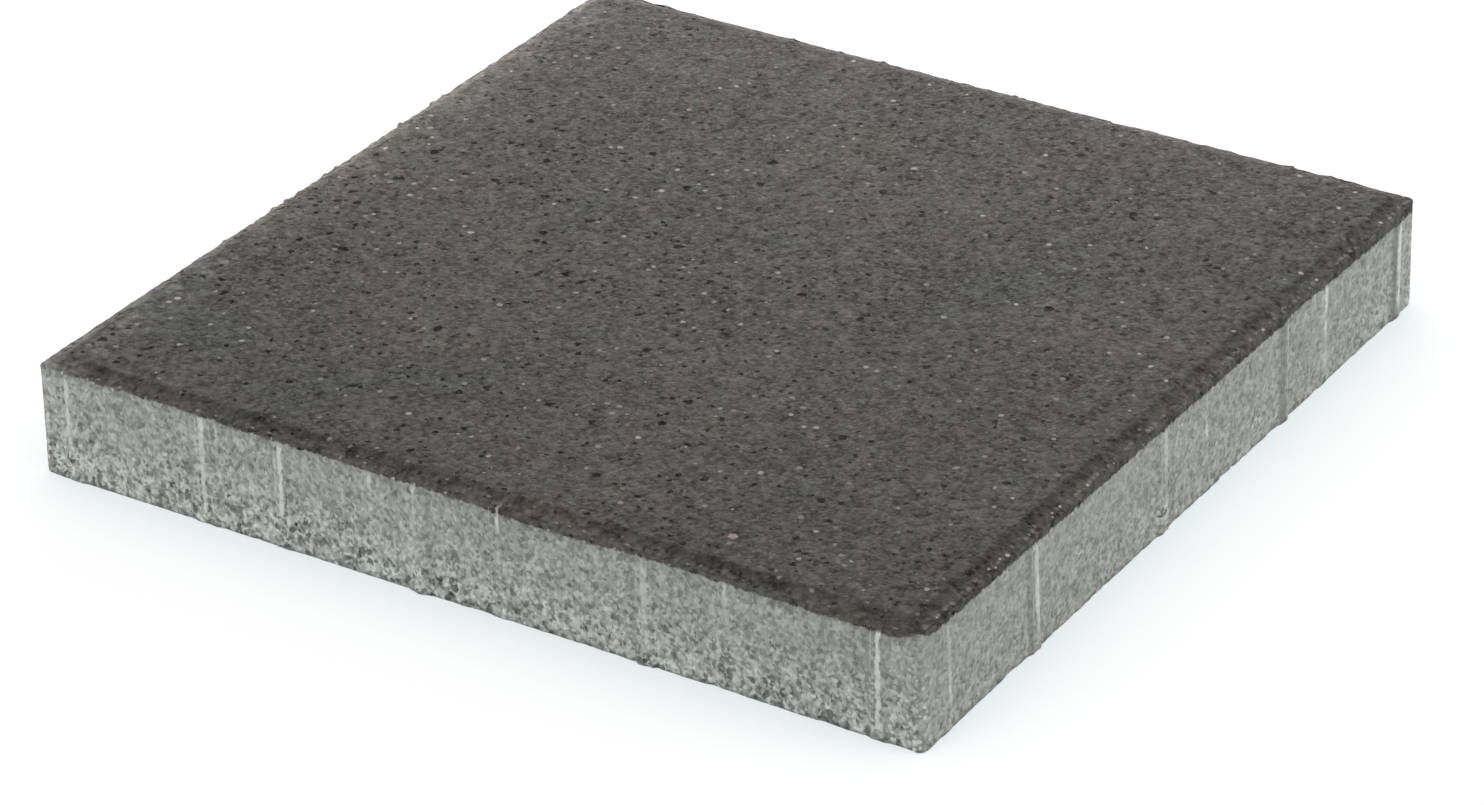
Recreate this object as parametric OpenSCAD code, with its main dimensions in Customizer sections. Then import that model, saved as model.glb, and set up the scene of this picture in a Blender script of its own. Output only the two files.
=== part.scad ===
// Square pressed concrete paving slab: a flat walking face inside a shallow
// bevel, tight upright corners, and shallow spacer ribs on all four sides.
// The origin is the middle of the bedding face, and +Z points up.

/* [Slab] */
// Side of the square outline, measured over the spacer ribs
slab_side = 400; // [200:1:800]
// Thickness from the bedding face to the walking face
slab_thickness = 50; // [35:1:100]
// Radius of the four upright corners, seen from above
corner_radius = 3; // [1:0.5:7]

/* [Bevel] */
// Width of the bevel around the walking face, seen from above
bevel_width = 8; // [2:0.5:9]
// Drop of the bevel from the walking face to the arris
bevel_drop = 2.5; // [1:0.25:6]
// Radius of the bevel's foot at the corners: outside it, the arris is a small level ledge
bevel_radius = 10; // [9.5:0.5:20]

/* [Spacer ribs] */
// How far a rib stands out from its side
rib_depth = 0.8; // [0.4:0.1:2.5]
// Width of a rib where it meets the side
rib_foot = 9; // [6.5:0.5:12]
// Width of a rib's flat crest
rib_crest = 6; // [2:0.5:6]
// Distance between the two ribs of a pair, centre to centre
rib_gap = 35; // [26:1:60]
// Distance from the arris down to the top of the ribs
rib_clearance = 1.5; // [0.5:0.5:10]

/* [Hidden] */
$fn = 96;
// A rib's root, buried in the side so that the two fuse
rib_root = 2;
// Half of the outline without the ribs
body_half = slab_side / 2 - rib_depth;
// Distances from the middle to the centres of the upright corners and of the bevel's corners
corner_centre = body_half - corner_radius;
bevel_centre = body_half - bevel_radius;
// Height of the arris, where the bevel meets the side
arris_z = slab_thickness - bevel_drop;
rib_top = arris_z - rib_clearance;
// A pair of ribs straddles each quarter of a side
rib_pitch = slab_side / 4;
// The ribs' places along a side, counted from its middle
rib_places = [for (quarter = [-2:2], way = [-1, 1])
    let (place = quarter * rib_pitch + way * rib_gap / 2)
    if (abs(place) < slab_side / 2 - rib_foot) place];

// The slab's upright section, carried from corner to corner
module bevelled_band() {
    rotate([90, 0, 0])
        linear_extrude(height = 2 * bevel_centre, center = true)
            polygon([
                [-body_half, 0],
                [body_half, 0],
                [body_half, arris_z],
                [body_half - bevel_width, slab_thickness],
                [bevel_width - body_half, slab_thickness],
                [-body_half, arris_z]
            ]);
}

// The bevel turned round a corner, on a foot that is buried in the body
module bevel_corner() {
    rotate_extrude()
        polygon([
            [0, arris_z - bevel_radius],
            [bevel_radius, arris_z],
            [bevel_radius - bevel_width, slab_thickness],
            [0, slab_thickness]
        ]);
}

// The body up to the arris, with its tight upright corners
module body() {
    linear_extrude(height = arris_z)
        union() {
            square([2 * body_half, 2 * corner_centre], center = true);
            square([2 * corner_centre, 2 * body_half], center = true);
            for (x = [-corner_centre, corner_centre], y = [-corner_centre, corner_centre])
                translate([x, y])
                    circle(r = corner_radius);
        }
}

// One spacer rib, standing on the +X side at y = 0
module spacer_rib() {
    translate([body_half, 0, 0])
        linear_extrude(height = rib_top)
            polygon([
                [-rib_root, -rib_foot / 2],
                [0, -rib_foot / 2],
                [rib_depth, -rib_crest / 2],
                [rib_depth, rib_crest / 2],
                [0, rib_foot / 2],
                [-rib_root, rib_foot / 2]
            ]);
}

// The slab, pressed in one piece from a dark face mix and a grey base mix
module slab() {
    color("dimgray")
        union() {
            body();
            for (turn = [0, 90])
                rotate([0, 0, turn])
                    bevelled_band();
            for (x = [-bevel_centre, bevel_centre], y = [-bevel_centre, bevel_centre])
                translate([x, y, 0])
                    bevel_corner();
            for (side = [0:3], place = rib_places)
                rotate([0, 0, 90 * side])
                    translate([0, place, 0])
                        spacer_rib();
        }
}

slab();
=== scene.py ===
"""Concrete paving slab: the pressed slab with its relief and finish, on a pale studio floor.

Everything is in metres. The middle of the bedding face is the origin and +Z is up. The slab is one
closed skin: a section carried round the rounded square outline, and a square grid that closes the
walking face and the underside. Its relief is worked out point by point with noise on whole arrays.
"""

import math

import bpy
import numpy as np
from mathutils import Matrix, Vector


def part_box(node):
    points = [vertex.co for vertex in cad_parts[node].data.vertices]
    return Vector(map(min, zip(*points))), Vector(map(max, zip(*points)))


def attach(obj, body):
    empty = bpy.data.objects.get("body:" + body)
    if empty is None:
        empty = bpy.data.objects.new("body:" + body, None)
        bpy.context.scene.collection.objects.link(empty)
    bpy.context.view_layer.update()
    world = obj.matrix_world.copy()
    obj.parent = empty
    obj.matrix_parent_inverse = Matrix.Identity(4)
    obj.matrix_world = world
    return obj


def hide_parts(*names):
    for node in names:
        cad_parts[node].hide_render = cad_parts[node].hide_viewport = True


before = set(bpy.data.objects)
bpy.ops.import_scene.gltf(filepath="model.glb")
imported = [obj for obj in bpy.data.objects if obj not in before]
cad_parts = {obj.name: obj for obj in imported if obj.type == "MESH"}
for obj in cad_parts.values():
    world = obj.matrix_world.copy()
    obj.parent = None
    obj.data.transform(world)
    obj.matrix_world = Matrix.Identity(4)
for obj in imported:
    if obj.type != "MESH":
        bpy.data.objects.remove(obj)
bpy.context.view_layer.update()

MM = 0.001
QUARTER_TURN = math.pi / 2

# The slab's sizes, as in the solid that this skin stands for
SLAB_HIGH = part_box("slab")[1]
RIB_DEPTH = 0.8 * MM
RIB_FOOT = 9 * MM
RIB_CREST = 6 * MM
RIB_GAP = 35 * MM
RIB_CLEARANCE = 1.5 * MM
BODY_HALF = SLAB_HIGH.x - RIB_DEPTH
THICKNESS = SLAB_HIGH.z
CORNER_RADIUS = 3 * MM
BEVEL_WIDTH = 8 * MM
BEVEL_DROP = 2.5 * MM
BEVEL_RADIUS = 10 * MM
ARRIS_Z = THICKNESS - BEVEL_DROP
RIB_TOP = ARRIS_Z - RIB_CLEARANCE
BEVEL_SLOPE = math.atan2(BEVEL_DROP, BEVEL_WIDTH)

# Rounding of the pressed edges, and the small ledge outside the bevel's corners
LIP_RADIUS = 0.4 * MM
ARRIS_RADIUS = 0.8 * MM
LEDGE_WIDTH = 0.2 * MM
LEDGE_RISE = 0.06 * MM
INNER_EDGE_RADIUS = 7 * MM
INNER_CORNER_RADIUS = 7 * MM

# Fineness of the skin
ROUND = 1600          # points round the outline: those round each grid, doubled and doubled again
SIDE_ROWS = 30        # rows up the upright side
BEVEL_ROWS = 5        # rows up the straight bevel
EDGE_ROWS = 3         # rows round the arris and round the bevel's inner edge
TOP_CELLS = 100       # cells across the walking face
UNDER_CELLS = 50      # cells across the underside
TOP_GRID_HALF = 178 * MM
UNDER_GRID_HALF = 150 * MM
# How far in the section ends on the walking face and on the underside
TOP_RIM_INSET = BEVEL_WIDTH + 2.5 * MM
UNDER_RIM_INSET = 3 * MM

# The sides are numbered counter-clockwise from above: +X, +Y, -X, -Y. The walking face and the
# underside have the number -1, so they take the last side's values where nothing else is said.
# The corners follow the same way round, from the one between -Y and +X.
CORNERS = BODY_HALF * np.array([[1, -1, 0], [1, 1, 0], [-1, 1, 0], [-1, -1, 0]])

# The least that a point of the bevel faces up, and the most that one of the upright side and one
# of the underside do
BEVEL_FACES_UP = 0.3
SIDE_FACES_UP = 0.05
UNDERSIDE_FACES_UP = -0.9

# The line between the dark face mix and the grey base mix on each side: places along it and
# heights, in mm
MIX_LINES = [
    ([-200, -150, 0, 80, 100, 125, 200], [45.2, 44.5, 43.9, 43.3, 44.6, 43.5, 42.7]),
    ([-200, -60, 40, 200], [43.2, 44.4, 43.6, 44.6]),
    ([-200, -90, 30, 200], [45.0, 44.2, 45.4, 46.2]),
    ([-200, -90, -10, 32, 60, 80, 200], [47.5, 46.7, 46.3, 44.7, 45.0, 45.8, 45.6]),
]
# The line's height at the corners, and how far along the sides the change shows
MIX_CORNER_Z = np.array([48.9, 42.6, 46.0, 47.6]) * MM
MIX_CORNER_REACH = 5.5 * MM
# Heights above the line that the walking face and the underside are given
FACE_MIX_HEIGHT = 20 * MM
UNDERSIDE_MIX_HEIGHT = -40 * MM

# How open and coarse the base mix has set on each side, near its top and near its foot, 0 to 1
OPEN_ABOVE = np.array([0.08, 0.30, 0.35, 0.38])
OPEN_BELOW = np.array([0.32, 0.65, 0.80, 1.05])
OPEN_MOST = 1.4

# Hollow patches where the base mix has set more open still: place and radius in mm, how much
HOLLOWS = [
    ((-82, -199.2, 9), 9, 0.5), ((-43, -199.2, 9), 5.5, 0.5), ((-20, -199.2, 6), 6, 0.5),
    ((83, -199.2, 3), 5, 0.7), ((136, -199.2, 6), 9, 0.4), ((199.2, -176, 14), 8, 0.3),
    ((199.2, -22, 8), 7, 0.4), ((199.2, 78, 20), 9, 0.25), ((-199.2, 60, 9), 8, 0.5),
    ((-90, 199.2, 7), 9, 0.4), ((-74, -199.2, 12), 7, 0.6), ((88, -199.2, 4), 7, 0.7),
    ((199.2, -83, 24), 4.5, 0.9), ((199.2, -17, 9), 6, 0.7), ((199.2, 60, 12), 7, 0.5),
    ((199.2, 165, 10), 8, 0.3), ((-190, -199.2, 8), 7, 0.5),
]

# How much of each spacer rib the mould has left standing, 0 to 1, along each side
RIB_STANDING = np.array([
    [0.5, 1, 0.3, 0.9, 0.4, 1, 0.5, 1],
    [0.8, 0.5, 0.9, 0.4, 0.7, 1, 0.6, 0.9],
    [0.9, 0.7, 0.5, 1, 0.6, 0.4, 0.9, 0.7],
    [0.6, 0.5, 0.7, 0.9, 0.4, 1, 0.4, 0.8],
])
RIB_FADE = 3 * MM

# The arris: how ragged and how worn it is on each side, and the worn line just inside it, whose light
# grains are also a painted highlight along the edge
ARRIS_ROUGHNESS = np.array([0.9, 1.4, 1.3, 0.8])
WEAR_AND_HIGHLIGHT_SHARE = np.array([1.15, 0.7, 1.1, 0.55])
WEAR_AND_HIGHLIGHT_INSET = 1.8 * MM
WEAR_AND_HIGHLIGHT_WIDTH = 1.1 * MM

# Painted shade: how much darker the bevel is than the walking face on each side, and the dark line
# of painted shade along its inner edge
PAINTED_BEVEL_SHADE = np.array([0.13, 0.06, 0.0, 0.04])
PAINTED_CREASE_SHADE = 0.24
CREASE_INSET = 6.9 * MM
CREASE_WIDTH = 1.6 * MM
# Painted shade: how light the face mix is on the upright side, as a share of the walking face
UPRIGHT_TONE = 0.60
# Painted sheen that fades in from the -X side: strength, and where each starts to fall and ends, in
# mm. The first two are uneven.
PAINTED_SHEEN_FADES = [(0.45, 8, 30), (1.05, 1, 9), (0.045, 25, 110)]

# Pale lines on the ribs, rubbed wear and in part a painted highlight on their edges: side, place
# along it and width in mm, then heights in mm and how strongly the line shows at each
RUB_AND_HIGHLIGHT_LINES = [
    (0, -179, 3, [8, 14, 20, 26, 34, 43], [0, 0.45, 0.6, 0.35, 0.3, 0.4]),
    (0, -115.5, 3.6, [2, 8, 20, 30, 36, 44], [0.2, 0.4, 1, 0.9, 0.6, 0.8]),
    (0, -15.5, 3.2, [10, 22, 30, 44], [0.1, 0.2, 0.45, 0.6]),
    (0, 18, 2.8, [12, 22, 26, 29, 33, 43], [0.1, 0.15, 0.9, 0.8, 0.15, 0.3]),
    (0, 86, 2.4, [4, 14, 24, 32, 44], [0.2, 0.45, 0.3, 0.4, 0.55]),
    (0, 119, 3.4, [6, 13, 18, 23, 26, 30, 34, 44], [0.1, 0.7, 0.1, 0.3, 1, 0.2, 0.9, 0.9]),
    (0, 185.2, 4.2, [3, 10, 15, 22, 32, 43], [0.3, 1, 0.6, 0.8, 1, 0.8]),
    (1, -184, 3, [4, 12, 30, 44], [0.2, 0.7, 0.5, 0.8]),
    (1, -80, 3.2, [5, 14, 26, 44], [0.3, 0.9, 0.6, 0.9]),
    (1, -15, 2.6, [14, 24, 44], [0, 0.4, 0.5]),
    (1, 86, 2.8, [4, 16, 30, 44], [0.2, 0.7, 0.3, 0.7]),
    (1, 119.5, 2.4, [18, 30, 44], [0, 0.3, 0.6]),
    (2, -181, 3.2, [5, 12, 28, 45], [0.3, 0.8, 0.6, 0.9]),
    (2, -115, 2.6, [12, 22, 45], [0, 0.4, 0.6]),
    (2, 20, 3.2, [3, 12, 24, 45], [0.3, 1, 0.7, 0.9]),
    (2, 80, 2.4, [16, 26, 32, 45], [0, 0.6, 0.1, 0.5]),
    (2, 184, 2.8, [6, 14, 45], [0.2, 0.7, 0.6]),
    (3, -185.5, 3, [12, 18, 26, 42, 45], [0, 0.5, 0.85, 0.8, 0.5]),
    (3, -120, 2.8, [8, 17, 24, 38, 46], [0.1, 0.8, 0.6, 0.7, 1]),
    (3, -113, 1.8, [30, 38, 46], [0, 0.4, 0.6]),
    (3, -82.5, 2.4, [3, 12, 18, 45], [0.3, 0.4, 1, 1]),
    (3, -41, 2.2, [14, 27, 30, 33, 38, 42, 46], [0.1, 0.2, 0.5, 0.1, 0.1, 0.8, 0.3]),
    (3, -20.5, 2.6, [14, 26, 34, 39, 43, 48], [0.1, 0.3, 0.4, 0.15, 0.9, 0.2]),
    (3, 17.5, 2.2, [14, 26, 36, 41, 47, 49], [0.1, 0.2, 0.2, 0.8, 0.9, 0.2]),
    (3, 82.5, 3.4, [6, 18, 28, 36, 46], [0.15, 0.3, 0.35, 0.45, 0.2]),
    (3, 118, 2.2, [26, 36, 41, 46], [0, 0.2, 0.9, 0.6]),
    (3, 182.5, 2.5, [4, 9, 20, 46], [0.2, 0.9, 0.9, 1]),
]
# How far a pale rib line's own coordinate reaches on each side of it
RIB_LINE_REACH = 3.2 * MM

# Single larger stones that show at the walking face: place and radius in mm, colour
FACE_STONES = [
    ((106, -175), 2.3, (0.56, 0.50, 0.48)), ((176, 16), 1.2, (0.72, 0.71, 0.68)),
    ((178, 172), 1.3, (0.78, 0.76, 0.74)), ((107, 92), 1.1, (0.70, 0.68, 0.66)),
    ((-185, -97), 2.6, (0.42, 0.33, 0.30)),
]

# Strips of painted shade beside some ribs: side, place along it in mm, width in mm, strength
PAINTED_RIB_SHADE_STRIPS = [
    (0, -119.8, 4.5, 0.8), (0, -81, 2.5, 0.3), (0, -9, 3, 0.4), (0, 81.5, 5.5, 1.3),
    (0, 180.8, 4.5, 1.6), (1, -112, 4, 0.7), (1, 20, 3, 0.6), (2, -84, 4, 0.6),
    (2, 116, 3.5, 0.8), (3, -126, 3, 0.5), (3, -15, 3, 0.6), (3, 77, 3.5, 0.7),
    (3, 178.5, 3, 0.7),
]

# How far each side leans out at its foot: places along it and widths, in mm
LEANS = [
    ([-200, -150, -100, 0, 100, 200], [2.3, 1.9, 1.6, 1.2, 0.8, 0.6]),
    ([-200, 200], [0.4, 0.3]),
    ([-200, 200], [0.3, 0.5]),
    ([-200, -60, 60, 200], [0.5, 0.5, 0.2, 0.1]),
]

# Ragged swellings at the foot: side, place along it in mm, width and depth in mm
FOOT_BURRS = [
    (0, -117, 9, 0.2), (0, -16, 9, 0.4), (0, 83, 7, 0.4), (0, 184, 5, 0.3),
    (1, -85, 10, 0.8), (1, 18, 9, 0.7), (2, -20, 10, 0.8), (2, 120, 9, 0.9),
    (3, -20, 8.5, 0.9), (3, 83, 9, 0.7), (3, -122, 9, 0.6),
]
BURR_HEIGHT = 9 * MM

# Bites out of the edges: place of the middle in mm, radius in mm
BITES = [
    ((202, 201, -1.5), 6), ((-201, 150, -1), 4), ((60, 200.5, 48.5), 3),
    ((-201, -60, 48.5), 3.2), ((-120, -201, -1), 3), ((202, 40, -1.5), 3.6),
    ((-150, 201, -1), 4.5), ((201, 132, 48.8), 2.6), ((-200.5, -201, -2), 4),
]

# Heights of the relief in mm, and how far the crumbling of the arris and of the lip reaches
SWELL = 0.10
BEVEL_GRAIN = 0.16
BEVEL_SUNK = 0.04
ARRIS_GRAIN = 0.45
PROUD_GRAIN = 0.60
LIP_GRAIN = 0.40
PIT_DEPTH = 0.70
SIDE_GRAIN = 0.20
UNDERSIDE_HOLLOW = 0.35
ARRIS_REACH = 2 * MM
LIP_REACH = 2.2 * MM

# Large primes that mix a cell's three numbers and a seed into one, and the bits that are kept
CELL_PRIMES = (73856093, 19349663, 83492791)
SEED_PRIME = 49979687
STIRRING = ((13, 1274126177), (16, 668265263))
KEPT_BITS = 0x7FFFFFFFFFFF
NUMBER_BITS = 0xFFFFFF


# ---- noise on arrays

def cell_number(cells, seed):
    """A fixed random number from 0 to 1 for each whole-numbered cell: its three numbers are
    multiplied by large primes, mixed by exclusive or and shifts, and scaled."""
    x, y, z = (cells[:, k] * CELL_PRIMES[k] for k in range(3))
    mixed = x ^ y ^ z ^ seed * SEED_PRIME
    for shift, prime in STIRRING:
        mixed = (mixed ^ (mixed >> shift)) * prime & KEPT_BITS
    return ((mixed >> 7) & NUMBER_BITS) / NUMBER_BITS


def smooth_noise(points, size, seed):
    """Noise from -1 to 1: random numbers at the corners of cubes of the given size, blended across
    each cube by the cubic step 3t^2 - 2t^3 along each axis."""
    place = points / size
    corner = np.floor(place).astype(np.int64)
    step = place - corner
    step = step * step * (3 - 2 * step)
    total = np.zeros(len(points))
    for way in np.ndindex(2, 2, 2):
        near = np.abs(1 - np.array(way) - step)
        total += near[:, 0] * near[:, 1] * near[:, 2] * cell_number(corner + np.array(way), seed)
    return 2 * total - 1


def rough_noise(points, size, seed, octaves=3):
    """Sum of smooth noise at the size, half of it, a quarter and so on, each half as strong."""
    total = sum(0.5 ** k * smooth_noise(points, size * 0.5 ** k, seed + k) for k in range(octaves))
    return total / sum(0.5 ** k for k in range(octaves))


def grain_distance(points, size, seed):
    """Distance from each point to the nearest of a scatter of grains, one in each cube of the given
    size, as a share of that size, and the nearest grain's own random number."""
    place = points / size
    home = np.floor(place).astype(np.int64)
    nearest = np.full(len(points), np.inf)
    number = np.zeros(len(points))
    for step in np.ndindex(3, 3, 3):
        cell = home + np.array(step) - 1
        grain = cell + np.stack([cell_number(cell, seed + k) for k in range(3)], 1)
        away = np.linalg.norm(grain - place, axis=1)
        closer = away < nearest
        nearest[closer] = away[closer]
        number[closer] = cell_number(cell[closer], seed + 3)
    return nearest, number


def ease(value, low, high):
    """0 below low, 1 above high, and the cubic step 3t^2 - 2t^3 between."""
    t = np.clip((value - low) / (high - low), 0, 1)
    return t * t * (3 - 2 * t)


def fade(value, low, high):
    """1 below low, 0 above high, and eased between."""
    return 1 - ease(value, low, high)


def bell(distance, reach):
    """1 at no distance, falling off to nothing as e to minus the square of distance over reach."""
    return np.exp(-(distance / reach) ** 2)


def scattered(points, spacing, seed, share, edge):
    """Round grains or pits, one to each cube of the spacing, of which only a share is there: 1 in
    the middle and 0 outside, eased between two distances given as shares of the spacing."""
    away, number = grain_distance(points, spacing, seed)
    return fade(away, *edge) * (number < share)


def crumbled(points, seed, grain, grain_size, rise, chip, chip_size, chip_level):
    """A crumbled edge in mm: rough grain and a rise, less chips where slower noise passes a level."""
    chips = np.clip(smooth_noise(points, chip_size, seed + 1) - chip_level, 0, 1)
    return grain * rough_noise(points, grain_size, seed, octaves=2) + rise - chip * chips


# ---- the slab's skin

def outline(count):
    """Points round the bevel's outline by arc length, counter-clockwise from the middle of the +X
    side: the centre that each is turned about, which runs along a square, and its outward
    direction, which turns only at the four corners."""
    reach = BODY_HALF - BEVEL_RADIUS
    arc = BEVEL_RADIUS * QUARTER_TURN
    quarter = 2 * reach + arc
    s = np.arange(count) * 4 * quarter / count
    turn = (s // quarter).astype(int)
    s = s - turn * quarter
    angle = np.clip((s - reach) / BEVEL_RADIUS, 0, QUARTER_TURN)
    centre = np.stack([reach - np.clip(s - reach - arc, 0, None), np.clip(s, None, reach)], 1)
    outward = np.stack([np.cos(angle), np.sin(angle)], 1)
    cosine, sine = np.cos(turn * QUARTER_TURN), np.sin(turn * QUARTER_TURN)

    def turned(v):
        """Each point's vector, turned by its side's quarter turns."""
        return np.stack([cosine * v[:, 0] - sine * v[:, 1], sine * v[:, 0] + cosine * v[:, 1]], 1)

    return turned(centre), turned(outward)


def section():
    """The slab's section from the underside to the walking face, as rows of inset, height, the
    direction faced as an angle above level, and the radius of the corners: a round lip, the upright
    side, a round arris, a small ledge that only the corners have, the straight bevel, and a soft
    round edge into the walking face."""
    tight = CORNER_RADIUS
    rows = [[UNDER_RIM_INSET, 0, -QUARTER_TURN, tight]]
    for a in np.radians([-90, -45, 0]):
        rows.append([LIP_RADIUS * (1 - math.cos(a)), LIP_RADIUS * (1 + math.sin(a)), a, tight])
    bevel_faces = QUARTER_TURN - BEVEL_SLOPE
    arris_low = ARRIS_Z - ARRIS_RADIUS * math.tan(bevel_faces / 2)
    for t in np.linspace(0, 1, SIDE_ROWS + 1)[1:]:
        rows.append([0, LIP_RADIUS + (arris_low - LIP_RADIUS) * t, 0, tight])
    for a in np.linspace(0, bevel_faces, EDGE_ROWS + 1)[1:]:
        rows.append([ARRIS_RADIUS * (1 - math.cos(a)), arris_low + ARRIS_RADIUS * math.sin(a), a, tight])
    rows.append([rows[-1][0] + LEDGE_WIDTH, rows[-1][1] + LEDGE_RISE, bevel_faces, BEVEL_RADIUS])
    soft = INNER_EDGE_RADIUS * math.tan(BEVEL_SLOPE / 2)
    start, end = rows[-1][0], BEVEL_WIDTH - soft * math.cos(BEVEL_SLOPE)
    for t in np.linspace(0, 1, BEVEL_ROWS + 1)[1:]:
        inset = start + (end - start) * t
        radius = BEVEL_RADIUS + (INNER_CORNER_RADIUS - BEVEL_RADIUS) * t
        rows.append([inset, ARRIS_Z + inset * math.tan(BEVEL_SLOPE), bevel_faces, radius])
    for a in np.linspace(bevel_faces, QUARTER_TURN, EDGE_ROWS + 1)[1:]:
        inset = BEVEL_WIDTH + soft - INNER_EDGE_RADIUS * math.cos(a)
        rows.append([inset, THICKNESS - INNER_EDGE_RADIUS * (1 - math.sin(a)), a, INNER_CORNER_RADIUS])
    rows.append([TOP_RIM_INSET, THICKNESS, QUARTER_TURN, INNER_CORNER_RADIUS])
    return np.array(rows)


def ring(centre, outward, inset, radius):
    """The outline moved inwards by an inset, with its own corner radius: the centres of its corners
    are drawn in or out to suit."""
    draw = (BODY_HALF - inset - radius) / (BODY_HALF - BEVEL_RADIUS)
    return centre * draw + outward * radius


def square_grid(half, cells, height):
    """Points of a level square grid, row by row, and the numbers of its boundary points,
    counter-clockwise from the middle of the +X side."""
    line = np.linspace(-half, half, cells + 1)
    x, y = np.meshgrid(line, line)
    points = np.stack([x.ravel(), y.ravel(), np.full(x.size, height)], 1)
    number = np.arange(x.size).reshape(x.shape)
    loop = np.concatenate([number[:-1, -1], number[-1, :0:-1], number[:0:-1, 0], number[0, :-1]])
    return points, number, np.roll(loop, -(cells // 2))


def strip(lower, upper):
    """Four-sided faces between two closed rings of equal count, facing out of the slab."""
    return np.stack([lower, np.roll(lower, -1), np.roll(upper, -1), upper], 1)


def taper(outer, inner):
    """Triangles between a closed ring and one of half its points: each inner point takes two outer
    steps, and one triangle fills between them."""
    even, odd, after = outer[0::2], outer[1::2], np.roll(outer[0::2], -1)
    following = np.roll(inner, -1)
    corners = ((even, odd, inner), (odd, after, following), (odd, following, inner))
    return np.concatenate([np.stack(three, 1) for three in corners])


def build_skin():
    """The closed skin before its relief: points, the directions they face, their side's number,
    their distance along that side from its middle, and the faces."""
    centre, outward = outline(ROUND)
    rows = section()
    side = np.argmax(np.stack([outward[:, 0], outward[:, 1], -outward[:, 0], -outward[:, 1]]), 0)
    along_way = np.array([[0, 1], [-1, 0], [0, -1], [1, 0]])[side]
    points, faces_to, alongs = [], [], []
    for inset, height, facing, radius in rows:
        flat = ring(centre, outward, inset, radius)
        points.append(np.column_stack([flat, np.full(ROUND, height)]))
        faces_to.append(np.column_stack([outward * math.cos(facing), np.full(ROUND, math.sin(facing))]))
        alongs.append((flat * along_way).sum(1))
    numbers = np.arange(len(rows) * ROUND).reshape(len(rows), ROUND)
    quads = [strip(numbers[k], numbers[k + 1]) for k in range(len(rows) - 1)]
    triangles = []
    made = numbers.size

    def add(new_points, up):
        """Adds points of a level face, and gives their numbers."""
        nonlocal made
        points.append(new_points)
        faces_to.append(np.tile([0.0, 0.0, up], (len(new_points), 1)))
        made += len(new_points)
        return np.arange(made - len(new_points), made)

    def close(rim_points, rim, half, cells, up):
        """Closes a rim with rings, each of half as many points and nearer to the boundary of a grid,
        and fills the grid. Only the walking face has a last ring as fine as the boundary."""
        grid_points, grid, boundary = square_grid(half, cells, rim_points[0, 2])
        grid_numbers = add(grid_points, up)
        ends = grid_points[boundary]
        outer, count = rim, len(rim)
        halvings = int(round(math.log2(count / len(ends))))
        for k in range(1, halvings + 1):
            count //= 2
            if k == halvings and up < 0:
                inner = grid_numbers[boundary]
            else:
                step = count // len(ends)
                part = (np.arange(count) % step / step)[:, None]
                following = np.roll(ends, -1, 0)
                target = np.repeat(ends, step, 0) * (1 - part) + np.repeat(following, step, 0) * part
                share = k / (halvings + (1 if up > 0 else 0))
                inner = add(rim_points[::len(rim) // count] * (1 - share) + target * share, up)
            band = taper(outer, inner)
            triangles.append(band if up > 0 else band[:, ::-1])
            outer = inner
        if up > 0:
            quads.append(strip(outer, grid_numbers[boundary]))
        cells_of = np.stack([grid[:-1, :-1], grid[:-1, 1:], grid[1:, 1:], grid[1:, :-1]], -1)
        cells_of = grid_numbers[cells_of.reshape(-1, 4)]
        quads.append(cells_of if up > 0 else cells_of[:, ::-1])

    close(points[len(rows) - 1], numbers[-1], TOP_GRID_HALF, TOP_CELLS, 1.0)
    close(points[0], numbers[0], UNDER_GRID_HALF, UNDER_CELLS, -1.0)
    level = made - numbers.size
    sides = [np.tile(side, len(rows)), np.full(level, -1)]
    alongs.append(np.zeros(level))
    return [np.concatenate(part) for part in (points, faces_to, sides, alongs, quads, triangles)]


def inset_of(points):
    """How far inside the square outline each point lies, seen from above."""
    return BODY_HALF - np.max(np.abs(points[:, :2]), 1)


def distance_from(points, place):
    """How far each point is from a place given in mm."""
    return np.linalg.norm(points - np.array(place) * MM, axis=1)


def near_corner(points, corner, reach):
    """A bell curve of the distance from an upright corner, seen from above."""
    return bell(np.linalg.norm(points * np.array([1, 1, 0]) - corner, axis=1), reach)


def on_bevel(points, facing, before, after):
    """1 on the bevel, easing to 0 from a distance before its inner edge to one after it."""
    within = fade(inset_of(points), BEVEL_WIDTH - before, BEVEL_WIDTH + after)
    return (facing[:, 2] > BEVEL_FACES_UP) * within


def rib_relief(points, side, along):
    """How far the spacer ribs stand out, in metres. A pair straddles each quarter of a side. A rib
    rises over its flank by the cubic step, times its own standing share, and fades out just below
    its top. The flat faces have none."""
    quarters = np.arange(-2, 3) * (SLAB_HIGH.x / 2)
    places = np.sort(np.concatenate([quarters - RIB_GAP / 2, quarters + RIB_GAP / 2]))
    places = places[np.abs(places) < SLAB_HIGH.x - RIB_FOOT]
    standing = np.vstack([RIB_STANDING, np.zeros(len(places))])[side]
    out = np.zeros(len(points))
    for k, place in enumerate(places):
        flank = fade(np.abs(along - place), RIB_CREST / 2, RIB_FOOT / 2)
        out = np.maximum(out, flank * standing[:, k])
    return out * RIB_DEPTH * fade(points[:, 2], RIB_TOP - RIB_FADE, RIB_TOP)


def mix_line(points, side, along):
    """Height of the line between the two mixes: each side's own gently bent line, made slightly wavy
    and changed near each corner by a bell curve to the corner's own height."""
    flat = points * np.array([1, 1, 0])
    height = np.zeros(len(points))
    for k, (places, heights) in enumerate(MIX_LINES):
        height = np.where(side == k, np.interp(along / MM, places, heights) * MM, height)
    height += (0.30 * MM * smooth_noise(flat, size=34 * MM, seed=71)
               + 0.12 * MM * smooth_noise(flat, size=9 * MM, seed=72))
    for corner, corner_height in zip(CORNERS, MIX_CORNER_Z):
        height += near_corner(points, corner, MIX_CORNER_REACH) * (corner_height - height)
    return height


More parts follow.
